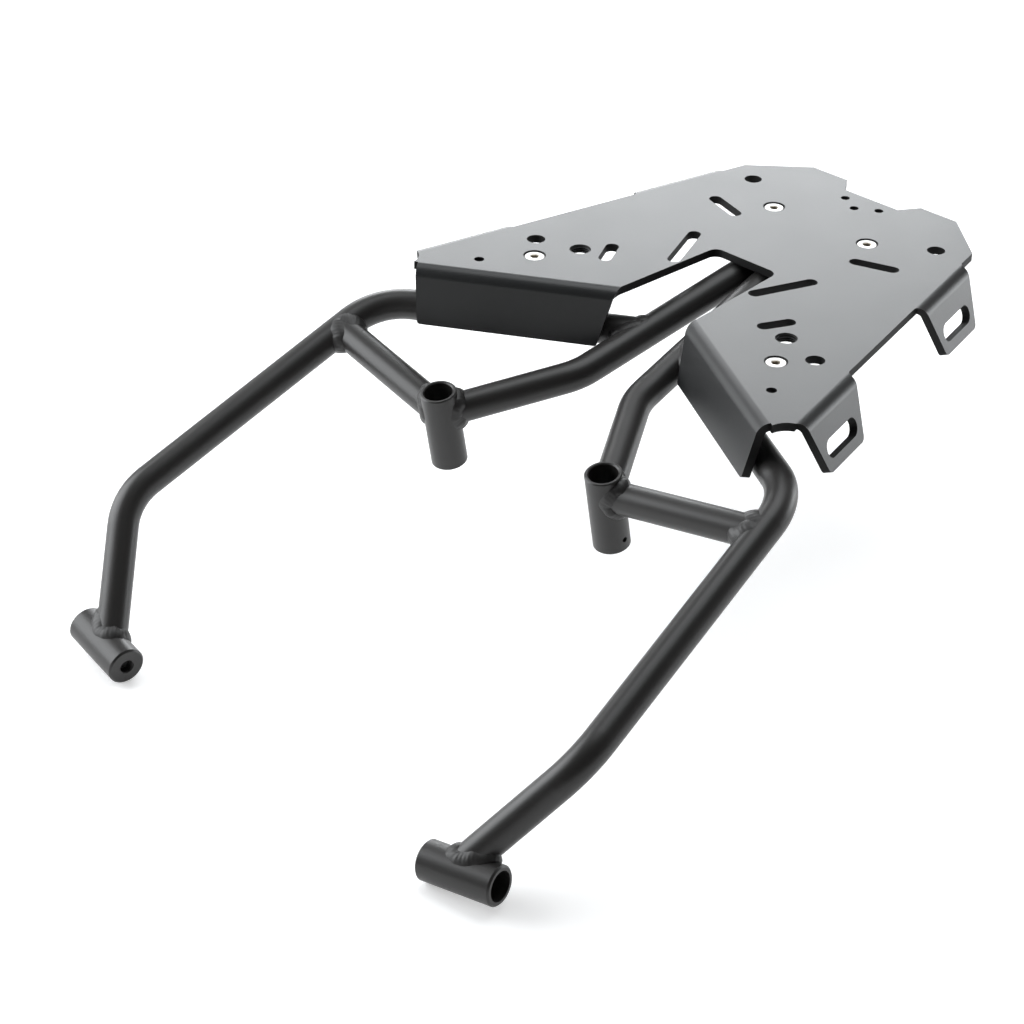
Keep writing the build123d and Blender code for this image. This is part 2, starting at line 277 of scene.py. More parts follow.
# %% Powder grain group
grain_sizes = {
    "Grain per metre": 2600.0,
    "Peel per metre": 420.0,
    "Grain height": 0.5,
    "Peel height": 0.5,
    "Roughness base": 0.4,
    "Roughness spread": 0.08,
}
cloud_per_metre = 28.0
grain_detail = 2.0
peel_detail = 1.0
cloud_detail = 3.0


def add_socket(group, name, direction, kind, value=None):
    socket = group.interface.new_socket(name=name, in_out=direction, socket_type=kind)
    if value is not None:
        socket.default_value = value
    return socket


def noise(tree, place, scale, detail):
    node = add_node(tree, "ShaderNodeTexNoise")
    node.inputs["Detail"].default_value = detail
    join(tree, place, node.inputs["Vector"])
    join(tree, scale, node.inputs["Scale"])
    return node.outputs["Fac"]


grain = bpy.data.node_groups.new("powder_grain", "ShaderNodeTree")
add_socket(grain, "Place", "INPUT", "NodeSocketVector")
for label, value in grain_sizes.items():
    add_socket(grain, label, "INPUT", "NodeSocketFloat", value)
for label in ("Height", "Tone", "Roughness"):
    add_socket(grain, label, "OUTPUT", "NodeSocketFloat")
given = add_node(grain, "NodeGroupInput").outputs
made = add_node(grain, "NodeGroupOutput").inputs
fine = noise(grain, given["Place"], given["Grain per metre"], grain_detail)
slow = noise(grain, given["Place"], given["Peel per metre"], peel_detail)
cloud = noise(grain, given["Place"], cloud_per_metre, cloud_detail)
fine_part = math_node(grain, "MULTIPLY", fine, given["Grain height"])
slow_part = math_node(grain, "MULTIPLY", slow, given["Peel height"])
join(grain, math_node(grain, "ADD", fine_part, slow_part), made["Height"])
even_mix = math_node(grain, "MULTIPLY", math_node(grain, "ADD", cloud, fine), 0.5)
join(grain, even_mix, made["Tone"])
wander = math_node(grain, "MULTIPLY", math_node(grain, "SUBTRACT", cloud, 0.5), given["Roughness spread"])
join(grain, math_node(grain, "ADD", wander, given["Roughness base"]), made["Roughness"])
print("group", grain.name, "has", len(grain.nodes), "nodes")

# %% [markdown]
# A material mixes two tones of black with the group's tone, and takes its roughness and its bump from the
# group. We write it once as a function, because the coats of this rack differ only in their numbers.

# %% A coat of powder
coat_relief = 0.1 * mm


def coat(name, dark, light, grain_values, specular, bump):
    material, tree = new_material(name)
    output = add_node(tree, "ShaderNodeOutputMaterial")
    shader = add_node(tree, "ShaderNodeBsdfPrincipled")
    place = add_node(tree, "ShaderNodeTexCoord")
    powder = add_node(tree, "ShaderNodeGroup", node_tree=grain)
    for label, value in grain_values.items():
        powder.inputs[label].default_value = value
    join(tree, place.outputs["Object"], powder.inputs["Place"])
    tone = add_node(tree, "ShaderNodeMix", data_type="RGBA")
    tone.inputs["A"].default_value = (*dark, 1)
    tone.inputs["B"].default_value = (*light, 1)
    join(tree, powder.outputs["Tone"], tone.inputs["Factor"])
    join(tree, tone.outputs["Result"], shader.inputs["Base Color"])
    join(tree, powder.outputs["Roughness"], shader.inputs["Roughness"])
    relief = add_node(tree, "ShaderNodeBump")
    relief.inputs["Strength"].default_value = bump
    relief.inputs["Distance"].default_value = coat_relief
    join(tree, powder.outputs["Height"], relief.inputs["Height"])
    join(tree, relief.outputs["Normal"], shader.inputs["Normal"])
    shader.inputs["Specular IOR Level"].default_value = specular
    join(tree, shader.outputs[0], output.inputs["Surface"])
    print("material", name)
    return material


print("bump distance of a coat:", coat_relief / mm, "mm")

# %% [markdown]
# The coats differ in how coarse and how glossy they are. The sheet takes a coarser grain than the tubes.
# Weld beads are coated with the tubes, but the powder pools in their ripples. The walls that the laser cut
# look dull and dark in the photo, with hardly any gloss, so they get a coat of their own.

# %% The four coats
plate_grain = {
    "Grain per metre": 1900.0,
    "Grain height": 0.7,
    "Peel height": 0.3,
    "Roughness base": 0.37,
    "Roughness spread": 0.05,
}
tube_grain = {"Grain per metre": 2400.0, "Roughness base": 0.39, "Roughness spread": 0.05}
weld_grain = {"Grain per metre": 1500.0, "Roughness base": 0.46, "Roughness spread": 0.10}
cut_grain = {
    "Grain per metre": 1600.0,
    "Grain height": 0.8,
    "Roughness base": 0.60,
    "Roughness spread": 0.10,
}
plate_dark, plate_light = (0.009, 0.0095, 0.0100), (0.016, 0.0168, 0.0176)
tube_dark, tube_light = (0.0135, 0.0125, 0.0120), (0.0235, 0.0220, 0.0210)
weld_dark, weld_light = (0.0110, 0.0103, 0.0100), (0.0210, 0.0198, 0.0190)
cut_dark, cut_light = (0.005, 0.005, 0.005), (0.012, 0.012, 0.012)
plate_coat = coat("plate_powder_coat", plate_dark, plate_light, plate_grain, specular=0.5, bump=0.45)
tube_coat = coat("tube_powder_coat", tube_dark, tube_light, tube_grain, specular=0.5, bump=0.30)
cut_coat = coat("cut_edge_powder_coat", cut_dark, cut_light, cut_grain, specular=0.18, bump=0.50)
weld_coat = coat("weld_powder_coat", weld_dark, weld_light, weld_grain, specular=0.5, bump=0.50)

# %% [markdown]
# The plate screws are plain stainless steel, pressed and then turned, so they are nearly white with faint
# turning marks. Inside their sockets it is too deep for the light to reach, so the steel's colour is given
# a painted shade there, dark and brown, that deepens below the plate. A fine noise stands for the marks.

# %% Screw material
# Depths below the plate's face where the painted shade in the sockets begins and where it is full
socket_shade_start_at = 0.66 * mm
socket_shade_full_at = 0.90 * mm
bright_steel = (0.80, 0.79, 0.76, 1)
# Painted shade: the dark brown that stands for the unlit depth of a socket
painted_socket_shade = (0.34, 0.30, 0.24, 1)
marks_per_metre = 1400.0
marks_detail = 2.0
steel_roughness = 0.30
marks_roughness = 0.16
steel_metallic = 0.55

screw_steel, tree = new_material("screw_stainless_steel")
output = add_node(tree, "ShaderNodeOutputMaterial")
shader = add_node(tree, "ShaderNodeBsdfPrincipled")
place = add_node(tree, "ShaderNodeTexCoord")
apart = add_node(tree, "ShaderNodeSeparateXYZ")
join(tree, place.outputs["Object"], apart.inputs[0])
depth = add_node(tree, "ShaderNodeMapRange")
depth.inputs["From Min"].default_value = -socket_shade_start_at
depth.inputs["From Max"].default_value = -socket_shade_full_at
join(tree, apart.outputs["Z"], depth.inputs["Value"])
# The steel's colour turns into the painted shade with depth in the socket
steel_and_socket_shade = add_node(tree, "ShaderNodeMix", data_type="RGBA")
steel_and_socket_shade.inputs["A"].default_value = bright_steel
steel_and_socket_shade.inputs["B"].default_value = painted_socket_shade
join(tree, depth.outputs["Result"], steel_and_socket_shade.inputs["Factor"])
join(tree, steel_and_socket_shade.outputs["Result"], shader.inputs["Base Color"])
marks = noise(tree, place.outputs["Object"], marks_per_metre, marks_detail)
rough = math_node(tree, "ADD", math_node(tree, "MULTIPLY", marks, marks_roughness), steel_roughness)
join(tree, rough, shader.inputs["Roughness"])
shader.inputs["Metallic"].default_value = steel_metallic
join(tree, shader.outputs[0], output.inputs["Surface"])
print("material", screw_steel.name)

# %% [markdown]
# The solids already have their shape, as triangles that point the right way, so their meshes aren't
# touched. They only take a material: steel for the screws, one coat for the sheet, and one for all the
# tubes and the small parts that are welded to them.

# %% Dress the solids


def dress(node, material):
    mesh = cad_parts[node].data
    mesh.materials.clear()
    mesh.materials.append(material)


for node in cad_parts:
    if node.startswith("plate_screw"):
        dress(node, screw_steel)
    elif node == "top_plate":
        dress(node, plate_coat)
    else:
        dress(node, tube_coat)
print("dressed", len(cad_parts), "nodes")

# %% [markdown]
# ## Weld beads
#
# A fillet weld fills the corner of a joint. Seen in section it is a low hump: one toe lies on the branch
# tube, the other on the main tube, and the crown stands a little above the straight line between them. It
# runs round the joint in a closed loop, with a fine ripple, and its toes are never quite even. A bump in
# the coat could draw the ripple, but not the hump against the light, so the bead is a piece of its own.
#
# First we need the line where two round tubes meet. If we walk once round the branch tube, each step has
# one place where the branch's wall touches the main tube, and a quadratic equation gives it. Up to the
# finished mesh of a seam, all lengths are in millimetres, as on a drawing.

# %% Where two round tubes meet
tube_radius = 9.0
sleeve_radius = 10.5
boss_radius = 11.0
seam_steps = 120


def seam_line(joint, branch, main_point, main, main_radius):
    # Points of the loop, with the outward direction of each tube's wall there
    side = branch.cross(main).normalized()
    other = side.cross(branch)
    loop = []
    for step in range(seam_steps):
        turn = 2 * math.pi * step / seam_steps
        outward = side * math.cos(turn) + other * math.sin(turn)
        start = joint + outward * tube_radius - main_point
        start_flat = start - main * start.dot(main)
        run_flat = branch - main * branch.dot(main)
        a = run_flat.length_squared
        b = 2 * start_flat.dot(run_flat)
        c = start_flat.length_squared - main_radius ** 2
        run = (-b + math.sqrt(max(b * b - 4 * a * c, 0.0))) / (2 * a)
        touch = (start_flat + run_flat * run).normalized()
        loop.append((main_point + start + branch * run, outward, touch))
    return loop


upright = Vector((0, 0, 1))
crosswise = Vector((1, 0, 0))
trial_loop = seam_line(Vector(), upright, Vector(), crosswise, boss_radius)
trial = [corner for corner, outward, touch in trial_loop]
trial_length = sum((corner - before).length for corner, before in zip(trial, trial[-1:] + trial[:-1]))
print("a tube set square on a boss has a seam of", round(trial_length, 1), "mm")

# %% [markdown]
# At each such place we step out along both walls to find the toes. We keep the middle between them as a
# vertex, and the ways to the toe, to the crown and to the root as vectors on that vertex. A welder's hand
# isn't quite steady, so the legs swell and shrink on slow waves that close after one turn, and each bead
# has one thicker lump where it was started and stopped.

# %% Toes, crown and root
toe_sink = 0.12
root_depth = 0.9
# How often each wave swings in one turn, and its size. Their sum is divided, so that it stays near one
hand_waves = ((3, 0.8), (5, 1.0), (8, 0.7), (13, 0.5))
waves_together = 2
wave_shift = 1.7
main_leg_shift = 3
crown_shift = 7
leg_unevenness = 0.16
crown_unevenness = 0.2
lump_width = 0.3
lump_rise = 0.8


def on_cylinder(point, axis_point, axis, radius):
    along = axis * (point - axis_point).dot(axis)
    away = (point - axis_point - along).normalized()
    return axis_point + along + away * radius


def uneven(turn, seed, share):
    total = sum(size * math.sin(count * turn + seed * count * wave_shift) for count, size in hand_waves)
    return 1 + share * total / waves_together


def bead_frame(joint, branch, main_point, main, main_radius, legs, crown_share, seed):
    # For each step round the joint: the middle, and the ways to the toe, the crown and the root
    branch = branch.normalized()
    main = main.normalized()
    loop = seam_line(joint, branch, main_point, main, main_radius)
    rows = []
    for step, (corner, outward, touch) in enumerate(loop):
        turn = 2 * math.pi * step / seam_steps
        forward = (loop[(step + 1) % seam_steps][0] - loop[step - 1][0]).normalized()
        up_branch = forward.cross(outward) * legs[0] * uneven(turn, seed, leg_unevenness)
        main_swing = uneven(turn, seed + main_leg_shift, leg_unevenness)
        over_main = touch.cross(forward) * legs[1] * main_swing
        toe = on_cylinder(corner + up_branch, joint, branch, tube_radius - toe_sink)
        far_toe = on_cylinder(corner + over_main, main_point, main, main_radius - toe_sink)
        middle = (toe + far_toe) / 2
        reach = toe - middle
        open_side = (outward + touch).normalized()
        open_side = (open_side - reach * open_side.dot(reach) / reach.length_squared).normalized()
        lump = 1 + lump_rise * math.exp(-(math.remainder(turn - seed, 2 * math.pi) / lump_width) ** 2)
        crown_swing = uneven(turn, seed + crown_shift, crown_unevenness)
        crown = open_side * reach.length * crown_share * crown_swing * lump
        root = corner - open_side * root_depth - middle
        rows.append((middle * mm, reach * mm, crown * mm, root * mm))
    return rows


swings = [uneven(math.radians(degree), 0.0, leg_unevenness) for degree in range(360)]
print("a leg swings between", round(min(swings), 2), "and", round(max(swings), 2), "of its size")

# %% [markdown]
# A Geometry Nodes tree can read vectors that lie on the vertices of a mesh, as named attributes. So the
# loop becomes a mesh of edges only, which carries its frame with it.

# %% Keep the frame on a mesh
frame_labels = ("reach", "crown", "root")


def frame_mesh(name, rows):
    count = len(rows)
    mesh = bpy.data.meshes.new(name)
    mesh.from_pydata([row[0] for row in rows], [(i, (i + 1) % count) for i in range(count)], [])
    for column, label in enumerate(frame_labels, start=1):
        layer = mesh.attributes.new(label, "FLOAT_VECTOR", "POINT")
        for index, row in enumerate(rows):
            layer.data[index].vector = row[column]
    return new_object(name, mesh)


print("each vertex carries", ", ".join(frame_labels))

# %% [markdown]
# The trees of this lesson all have the same ends: a geometry, their sizes and a material come in, and a
# mesh without instances goes out, smooth and with its material on. Instances are realised, because a piece
# that is handed over has to be a plain mesh.

# %% Both ends of a tree


def geometry_tree(name, sizes, patterns=()):
    tree = bpy.data.node_groups.new(name, "GeometryNodeTree")
    add_socket(tree, "Geometry", "INPUT", "NodeSocketGeometry")
    for label, value in sizes.items():
        add_socket(tree, label, "INPUT", "NodeSocketFloat", value)
    for label in patterns:
        add_socket(tree, label, "INPUT", "NodeSocketObject")
    add_socket(tree, "Material", "INPUT", "NodeSocketMaterial")
    add_socket(tree, "Geometry", "OUTPUT", "NodeSocketGeometry")
    return tree, add_node(tree, "NodeGroupInput").outputs, add_node(tree, "NodeGroupOutput").inputs


def finish_tree(tree, skin, material, made):
    smooth = add_node(tree, "GeometryNodeSetShadeSmooth")
    real = add_node(tree, "GeometryNodeRealizeInstances")
    paint = add_node(tree, "GeometryNodeSetMaterial")
    join(tree, material, paint.inputs["Material"])
    for first, second in ((skin, smooth), (smooth, real), (real, paint)):
        join(tree, first.outputs[0], second.inputs["Geometry"])
    join(tree, paint.outputs[0], made[0])
    print("tree", tree.name, "has", len(tree.nodes), "nodes")


bead_sizes = {"Step": 0.5 * mm, "Pitch": 2.3 * mm, "Ripple height": 0.15 * mm, "Wander": 0.40 * mm}
bead_tree, given, made = geometry_tree("weld_bead", bead_sizes)
print("sizes of a bead in metres:", bead_sizes)

# %% [markdown]
# The tree turns such a loop into a bead. It sweeps a plain circle along the loop, only to get a closed
# skin. Before the sweep we note three things on the curves: where the loop runs, how far along it we are,
# and how far round the circle.

# %% Sweep a closed skin
section_points = 20
section_radius = 1.0 * mm


def capture(tree, source, label, kind, value):
    node = add_node(tree, "GeometryNodeCaptureAttribute")
    node.capture_items.new(kind, label)
    join(tree, source, node.inputs["Geometry"])
    join(tree, value, node.inputs[label])
    return node


loop_line = add_node(bead_tree, "GeometryNodeMeshToCurve")
join(bead_tree, given["Geometry"], loop_line.inputs["Mesh"])
even = add_node(bead_tree, "GeometryNodeResampleCurve", mode="LENGTH")
join(bead_tree, loop_line.outputs[0], even.inputs["Curve"])
join(bead_tree, given["Step"], even.inputs["Length"])
middle = add_node(bead_tree, "GeometryNodeInputPosition").outputs[0]
kept_middle = capture(bead_tree, even.outputs[0], "Middle", "VECTOR", middle)
way = add_node(bead_tree, "GeometryNodeSplineParameter")
kept_way = capture(bead_tree, kept_middle.outputs["Geometry"], "Way", "FLOAT", way.outputs["Length"])
circle = add_node(bead_tree, "GeometryNodeCurvePrimitiveCircle")
circle.inputs["Resolution"].default_value = section_points
circle.inputs["Radius"].default_value = section_radius
round_way = add_node(bead_tree, "GeometryNodeSplineParameter")
kept_round = capture(bead_tree, circle.outputs["Curve"], "Round", "FLOAT", round_way.outputs["Factor"])
skin = add_node(bead_tree, "GeometryNodeCurveToMesh")
join(bead_tree, kept_way.outputs["Geometry"], skin.inputs["Curve"])
join(bead_tree, kept_round.outputs["Geometry"], skin.inputs["Profile Curve"])
print("nodes for the skin:", len(bead_tree.nodes))

# %% [markdown]
# Now every point of the skin is put where the vectors say. With an angle that runs round the circle, the
# cosine moves a point from toe to toe, and the square of the sine lifts it towards the crown, which gives a
# parabola. The lower half goes down to the root, inside the tubes. The ripple is one more small lift. It
# lags behind at the toes, so that its rings are bent like real ones.

# %% Lift over the crown, with a ripple
ring_lag = 0.45
lumps_per_metre = 260.0
lumps_detail = 2.0

angle = math_node(bead_tree, "MULTIPLY", kept_round.outputs["Round"], 2 * math.pi)
across = math_node(bead_tree, "COSINE", angle)
rising = math_node(bead_tree, "SINE", angle)
above = math_node(bead_tree, "MAXIMUM", rising, 0.0)
below = math_node(bead_tree, "MAXIMUM", math_node(bead_tree, "MULTIPLY", rising, -1.0), 0.0)
lift = math_node(bead_tree, "MULTIPLY", above, above)
sink = math_node(bead_tree, "MULTIPLY", below, below)
lag = math_node(bead_tree, "MULTIPLY", math_node(bead_tree, "MULTIPLY", across, across), ring_lag)
pitches = math_node(bead_tree, "DIVIDE", kept_way.outputs["Way"], given["Pitch"])
rings = math_node(bead_tree, "MULTIPLY", math_node(bead_tree, "ADD", pitches, lag), math.pi)
wave = math_node(bead_tree, "ABSOLUTE", math_node(bead_tree, "SINE", rings))
ripple = math_node(bead_tree, "MULTIPLY", wave, given["Ripple height"])
lumps = noise(bead_tree, kept_middle.outputs["Middle"], lumps_per_metre, lumps_detail)
swell = math_node(bead_tree, "MULTIPLY", math_node(bead_tree, "SUBTRACT", lumps, 0.5), given["Wander"])
push = math_node(bead_tree, "MULTIPLY", math_node(bead_tree, "ADD", ripple, swell), lift)
print("nodes with the lifts:", len(bead_tree.nodes))

# %% [markdown]
# The place of a point is a sum: the middle of the bead, its share of the three vectors, and the ripple
# along the crown's direction. Vectors have their own nodes, so three more helpers read, scale and add them.

# %% Put the points in place


def named(tree, label):
    node = add_node(tree, "GeometryNodeInputNamedAttribute", data_type="FLOAT_VECTOR")
    node.inputs["Name"].default_value = label
    return node.outputs["Attribute"]


def scaled(tree, vector, factor):
    node = add_node(tree, "ShaderNodeVectorMath", operation="SCALE")
    join(tree, vector, node.inputs[0])
    join(tree, factor, node.inputs["Scale"])
    return node.outputs[0]


def vector_sum(tree, *vectors):
    total = vectors[0]
    for vector in vectors[1:]:
        node = add_node(tree, "ShaderNodeVectorMath", operation="ADD")
        join(tree, total, node.inputs[0])
        join(tree, vector, node.inputs[1])
        total = node.outputs[0]
    return total


crown_way = add_node(bead_tree, "ShaderNodeVectorMath", operation="NORMALIZE")
join(bead_tree, named(bead_tree, "crown"), crown_way.inputs[0])
place = vector_sum(
    bead_tree,
    kept_middle.outputs["Middle"],
    scaled(bead_tree, named(bead_tree, "reach"), across),
    scaled(bead_tree, named(bead_tree, "crown"), lift),
    scaled(bead_tree, named(bead_tree, "root"), sink),
    scaled(bead_tree, crown_way.outputs[0], push),
)
shape = add_node(bead_tree, "GeometryNodeSetPosition")
join(bead_tree, skin.outputs[0], shape.inputs["Geometry"])
join(bead_tree, place, shape.inputs["Position"])
finish_tree(bead_tree, shape, given["Material"], made)

# %% [markdown]
# A modifier's inputs are set by each socket's identifier. The evaluated result is then copied into a plain
# mesh, and the source with its modifier is thrown away, so that the piece that rides with the rack is an
# ordinary mesh. Its faces are turned outwards, and the helper vectors are dropped.

# %% Turn a tree's result into a plain mesh


def plain_mesh(source, name):
    # The mesh with its modifiers applied, and the source gone
    ready = source.evaluated_get(bpy.context.evaluated_depsgraph_get())
    mesh = bpy.data.meshes.new_from_object(ready)
    mesh.name = name
    bpy.data.objects.remove(source)
    return mesh


def grown(name, source, tree, values):
    modifier = source.modifiers.new("grow", "NODES")
    modifier.node_group = tree
    for item in tree.interface.items_tree:
        if item.item_type == "SOCKET" and item.in_out == "INPUT" and item.name in values:
            modifier[item.identifier] = values[item.name]
    mesh = plain_mesh(source, name)
    for label in frame_labels:
        if label in mesh.attributes:
            mesh.attributes.remove(mesh.attributes[label])
    solid = bmesh.new()
    solid.from_mesh(mesh)
    bmesh.ops.recalc_face_normals(solid, faces=solid.faces)
    solid.to_mesh(mesh)
    solid.free()
    return new_object(name, mesh)


def seat_piece(piece):
    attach(piece, "root")


def triangles(piece):
    return sum(len(face.vertices) - 2 for face in piece.data.polygons)


print("the inputs of a bead:", [item.name for item in bead_tree.interface.items_tree])

# %% [markdown]
# The centre lines of the tubes are the same as in the construction: bend points and end points, in
# millimetres, for the right-hand side. The left-hand side has the same points with the sign of X changed.

# %% Centre lines
boss_centre = Vector((141.65, -438.15, -161.1))
boss_along = Vector((44.9, 7.3, 4.2)).normalized()
boss_tube_offset = 4.4
sleeve_top = Vector((63.0, -253.9, -38.4))
sleeve_lean = math.radians(11.1)
sleeve_joint_depth = 15.0
outer_lower_bend = Vector((176.6, -391.1, -99.6))
outer_upper_bend = Vector((156.8, -211.5, -30.4))
cross_joint_share = 0.851
inner_lower_bend = Vector((22.1, -181.3, -39.3))
inner_upper_bend = Vector((9.2, -56.0, -14.3))
outer_end_y = -131.0

boss_joint = boss_centre - boss_along * boss_tube_offset
sleeve_down = Vector((0, math.sin(sleeve_lean), -math.cos(sleeve_lean)))
sleeve_joint = sleeve_top + sleeve_down * sleeve_joint_depth
cross_joint = outer_lower_bend.lerp(outer_upper_bend, cross_joint_share)
outer_run = outer_upper_bend - outer_lower_bend
inner_run = inner_upper_bend - inner_lower_bend
outer_end = inner_lower_bend + inner_run * ((outer_end_y - inner_lower_bend.y) / inner_run.y)
joints = {"boss": boss_joint, "sleeve": sleeve_joint, "cross": cross_joint, "end": outer_end}
for label, joint in joints.items():
    print(label, "joint at", [round(value, 1) for value in joint])

# %% [markdown]
# Each side has five seams: tube on foot boss, cross tube on outer tube, cross tube and inner tube on the
# sleeve, and the end of the outer tube on the inner tube. Their beads differ in size, as the welder had
# more or less room. The legs are in millimetres.

# %% Make the beads
seams = {
    "foot": (boss_joint, outer_lower_bend - boss_joint, boss_centre, boss_along, boss_radius),
    "cross_outer": (cross_joint, sleeve_joint - cross_joint, cross_joint, outer_run, tube_radius),
    "cross_sleeve": (sleeve_joint, cross_joint - sleeve_joint, sleeve_top, sleeve_down, sleeve_radius),
    "inner_sleeve": (sleeve_joint, inner_lower_bend - sleeve_joint, sleeve_top, sleeve_down, sleeve_radius),
    "outer_inner": (outer_end, outer_upper_bend - outer_end, inner_lower_bend, inner_run, tube_radius),
}
# Leg on the branch, leg on the main tube, and how far the crown stands out for its width
bead_legs = {
    "foot": (4.6, 3.2, 0.20),
    "cross_outer": (5.4, 3.6, 0.13),
    "cross_sleeve": (4.2, 3.3, 0.26),
    "inner_sleeve": (4.4, 3.4, 0.26),
    "outer_inner": (3.4, 3.0, 0.16),
}
seam_seed_step = 1.3
left_seed_shift = 2.1


def mirrored(vector):
    return Vector((-vector.x, vector.y, vector.z))


bead_triangles = 0
for number, (seam, (joint, branch, main_point, main, main_radius)) in enumerate(seams.items()):
    branch_leg, main_leg, crown_share = bead_legs[seam]
    line = (joint, branch, main_point, main)
    for side, place in (("right", line), ("left", [mirrored(item) for item in line])):
        seed = seam_seed_step * number + (0.0 if side == "right" else left_seed_shift)
        rows = bead_frame(*place, main_radius, (branch_leg, main_leg), crown_share, seed)
        name = f"weld_{seam}_{side}"
        bead = grown(name, frame_mesh(name + "_line", rows), bead_tree, {"Material": weld_coat})
        seat_piece(bead)
        bead_triangles += triangles(bead)
print("beads:", 2 * len(seams), "triangles:", bead_triangles)

# %% [markdown]
# ## Plate screws
#
# The four countersunk screws are alike, so one is modelled and the others are instances of it. Its outline
# is a stack of rings round the screw's axis. Most rings are circles, and the ones inside the socket are
# hexagons, whose radius follows a formula. A spin of a flat outline would be shorter, but it can't change
# from round to six-sided. The rim of the head is rounded and the mouth of the socket has a wide chamfer,
# which are the two things that catch the light.

# %% One screw from rings
screw_segments = 48
socket_flats = 4.0
# Height over the plate's face and radius of each ring, from the tip up over the head and down the socket.
# A radius of None is the hexagon.
screw_rings = (
    (-20.3, 2.2),
    (-19.5, 2.95),
    (-3.8, 2.95),
    (-1.25, 5.5),
    (-0.95, 5.72),
    (-0.74, 5.70),
    (-0.64, 5.52),
    (-0.62, 5.25),
    (-0.62, 2.95),
    (-0.68, 2.80),
    (-1.10, None),
    (-2.9, None),
)


def hexagon_radius(turn):
    sixth = math.pi / 3
    return socket_flats / 2 / math.cos((turn % sixth) - sixth / 2)


def ring_skin(name, rings, segments):
    solid = bmesh.new()
    circles = []
    for z, radius in rings:
        circle = []
        for step in range(segments):
            turn = 2 * math.pi * step / segments
            reach = hexagon_radius(turn) if radius is None else radius
            circle.append(solid.verts.new(Vector((reach * math.cos(turn), reach * math.sin(turn), z)) * mm))
        circles.append(circle)
    for low, high in zip(circles, circles[1:]):
        for step in range(segments):
            after = (step + 1) % segments
            solid.faces.new((low[step], low[after], high[after], high[step]))
    solid.faces.new(circles[0])
    solid.faces.new(circles[-1])
    bmesh.ops.recalc_face_normals(solid, faces=solid.faces)
    mesh = bpy.data.meshes.new(name)
    solid.to_mesh(mesh)
    solid.free()
    return new_object(name, mesh)


one_screw = ring_skin("one_screw", screw_rings, screw_segments)
print("one screw has", triangles(one_screw), "triangles")

# %% [markdown]
# A second tree sets copies of any pattern on the points that it is given. The four points lie on the
# plate's top face, at the screws' axes.

# %% Four screws by instances
rear_screw = Vector((35.6, 7.1, 0))
front_screw = Vector((91.3, -146.4, 0))
crease_angle = math.radians(25)

screw_tree, given, made = geometry_tree("placed_copies", {}, patterns=("Pattern",))
copies = add_node(screw_tree, "GeometryNodeInstanceOnPoints")
pattern = add_node(screw_tree, "GeometryNodeObjectInfo")
join(screw_tree, given["Geometry"], copies.inputs["Points"])
join(screw_tree, given["Pattern"], pattern.inputs["Object"])
join(screw_tree, pattern.outputs["Geometry"], copies.inputs["Instance"])
finish_tree(screw_tree, copies, given["Material"], made)

screw_places = [rear_screw, mirrored(rear_screw), front_screw, mirrored(front_screw)]
spots = bpy.data.meshes.new("screw_spots")
spots.from_pydata([place * mm for place in screw_places], [], [])
source = new_object("screw_spots", spots)
screws = grown("plate_screw_set", source, screw_tree, {"Material": screw_steel, "Pattern": one_screw})
bpy.data.objects.remove(one_screw)
screws.data.set_sharp_from_angle(angle=crease_angle)
seat_piece(screws)
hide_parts(*[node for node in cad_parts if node.startswith("plate_screw")])
print("screws:", len(screw_places), "triangles:", triangles(screws))

# %% [markdown]
# ## Threads
#
# Two holes of the plate and the small holes of the feet look threaded. What shows of a thread in a dark
# hole is a few rings that catch light, so a fine tooth that winds along a helix is enough, and nothing has
# to be cut from the solids. The same tree makes both sizes.

# %% The tree for a thread
thread_sizes = {"Radius": 5.5 * mm, "Pitch": 1.25 * mm, "Turns": 3.0, "Tooth": 0.4 * mm}
thread_steps = 48
tooth_corners = 4

thread_tree, given, made = geometry_tree("hole_thread", thread_sizes)
helix = add_node(thread_tree, "GeometryNodeCurveSpiral")
helix.inputs["Resolution"].default_value = thread_steps
join(thread_tree, given["Turns"], helix.inputs["Rotations"])
join(thread_tree, given["Radius"], helix.inputs["Start Radius"])
join(thread_tree, given["Radius"], helix.inputs["End Radius"])
thread_height = math_node(thread_tree, "MULTIPLY", given["Pitch"], given["Turns"])
join(thread_tree, thread_height, helix.inputs["Height"])
level = add_node(thread_tree, "GeometryNodeSetCurveNormal", mode="Z_UP")
join(thread_tree, helix.outputs[0], level.inputs["Curve"])
tooth = add_node(thread_tree, "GeometryNodeCurvePrimitiveCircle")
tooth.inputs["Resolution"].default_value = tooth_corners
join(thread_tree, given["Tooth"], tooth.inputs["Radius"])
winding = add_node(thread_tree, "GeometryNodeCurveToMesh")
join(thread_tree, level.outputs[0], winding.inputs["Curve"])
join(thread_tree, tooth.outputs["Curve"], winding.inputs["Profile Curve"])
winding.inputs["Fill Caps"].default_value = True
finish_tree(thread_tree, winding, given["Material"], made)

# %% [markdown]
# The tree grows a thread upwards from nought, and needs no mesh to start from. So it is grown on an empty
# mesh, and then turned and moved into its hole. The plate's thread starts just above its lower face, the
# foot's in the small hole behind the wide recess.

